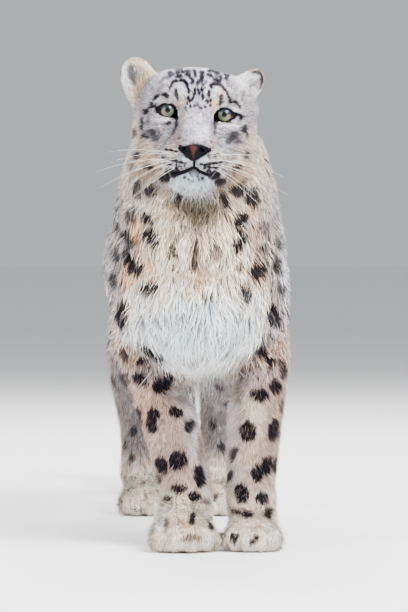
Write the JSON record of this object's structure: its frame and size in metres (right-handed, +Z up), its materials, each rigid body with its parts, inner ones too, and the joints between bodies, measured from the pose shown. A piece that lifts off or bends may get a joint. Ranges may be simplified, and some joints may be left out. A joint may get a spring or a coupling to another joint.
{
  "type": "life-size standing snow leopard model",
  "caption": "Life-size snow leopard standing square with its head up and turned to the front, forepaws close together, long coat on throat, breast and belly, thick tail hanging in a curve behind.",
  "frame": {"origin": "centre of the bounding box at the floor the paws stand on", "axes": "+Z up, the animal faces -Y, its own left side is at +X"},
  "size_m": [0.2934, 1.6674, 0.7275],
  "materials": {
    "coat": "matt fur",
    "pale_coat": "matt fur",
    "eye": "wet gloss",
    "nose": "moist leather"
  },
  "bodies": {
    "root": {"belly": "pale_coat", "chest": "pale_coat", "ear_left": "coat", "ear_right": "coat", "eye_left": "eye", "eye_right": "eye", "foreleg_left": "coat", "foreleg_right": "coat", "forepaw_left": "pale_coat", "forepaw_right": "pale_coat", "head": "coat", "hindleg_left": "coat", "hindleg_right": "coat", "hindpaw_left": "coat", "hindpaw_right": "coat", "hips": "coat", "hock_left": "coat", "hock_right": "coat", "jaw": "pale_coat", "neck": "coat", "nose": "nose", "tail_1": "coat", "tail_2": "coat", "tail_3": "coat", "tail_4": "coat", "tail_5": "coat"}
  },
  "joints": []
}
